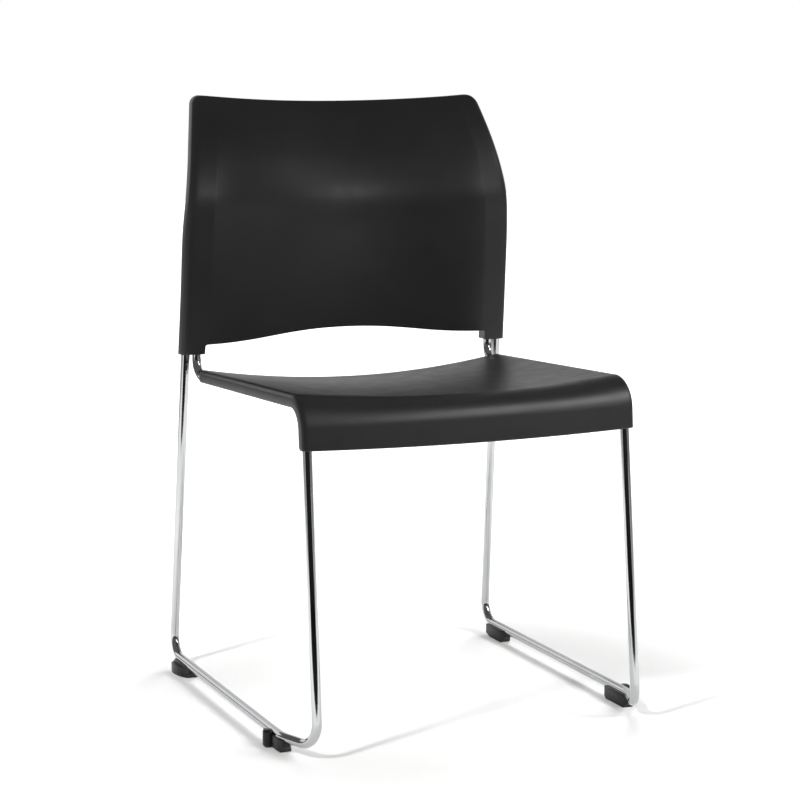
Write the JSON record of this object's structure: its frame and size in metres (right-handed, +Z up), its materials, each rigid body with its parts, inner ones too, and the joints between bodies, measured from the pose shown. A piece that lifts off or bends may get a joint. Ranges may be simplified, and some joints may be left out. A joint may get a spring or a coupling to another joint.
{
  "type": "stacking chair",
  "caption": "Sled-base stacking chair: two bent chrome rod side frames, hidden cross rods, a moulded plastic seat with a waterfall front and a hollow curved back in sockets.",
  "frame": {"origin": "centre of the footprint, on the floor", "axes": "+Z up, +X to the chair's right as seen from the front (the sitter's left), the sitter faces -Y"},
  "size_m": [0.5476, 0.557, 0.842],
  "materials": {
    "chrome_rod": "bright chrome plate, smooth",
    "shell_plastic": "black moulded polypropylene with a fine grain",
    "glide_plastic": "black moulded nylon, slight sheen",
    "bumper_plastic": "soft black plastic",
    "plate_steel": "plain cold-rolled steel",
    "screw_zinc": "zinc plated"
  },
  "bodies": {
    "root": {"side_frame_left": "chrome_rod", "side_frame_right": "chrome_rod", "cross_rod_front": "chrome_rod", "cross_rod_rear": "chrome_rod", "seat_shell": "shell_plastic", "back_shell": "shell_plastic", "seat_plate_front_left": "plate_steel", "seat_plate_front_right": "plate_steel", "seat_plate_rear_left": "plate_steel", "seat_plate_rear_right": "plate_steel", "seat_screw_front_left": "screw_zinc", "seat_screw_front_right": "screw_zinc", "seat_screw_rear_left": "screw_zinc", "seat_screw_rear_right": "screw_zinc", "glide_front_left": "glide_plastic", "glide_front_right": "glide_plastic", "glide_rear_left": "glide_plastic", "glide_rear_right": "glide_plastic", "stack_bumper_front_left": "bumper_plastic", "stack_bumper_front_right": "bumper_plastic", "stack_bumper_rear_left": "bumper_plastic", "stack_bumper_rear_right": "bumper_plastic", "back_plate_left": "plate_steel", "back_plate_right": "plate_steel", "back_screw_lower_left": "screw_zinc", "back_screw_lower_right": "screw_zinc", "back_screw_upper_left": "screw_zinc", "back_screw_upper_right": "screw_zinc"}
  },
  "joints": []
}
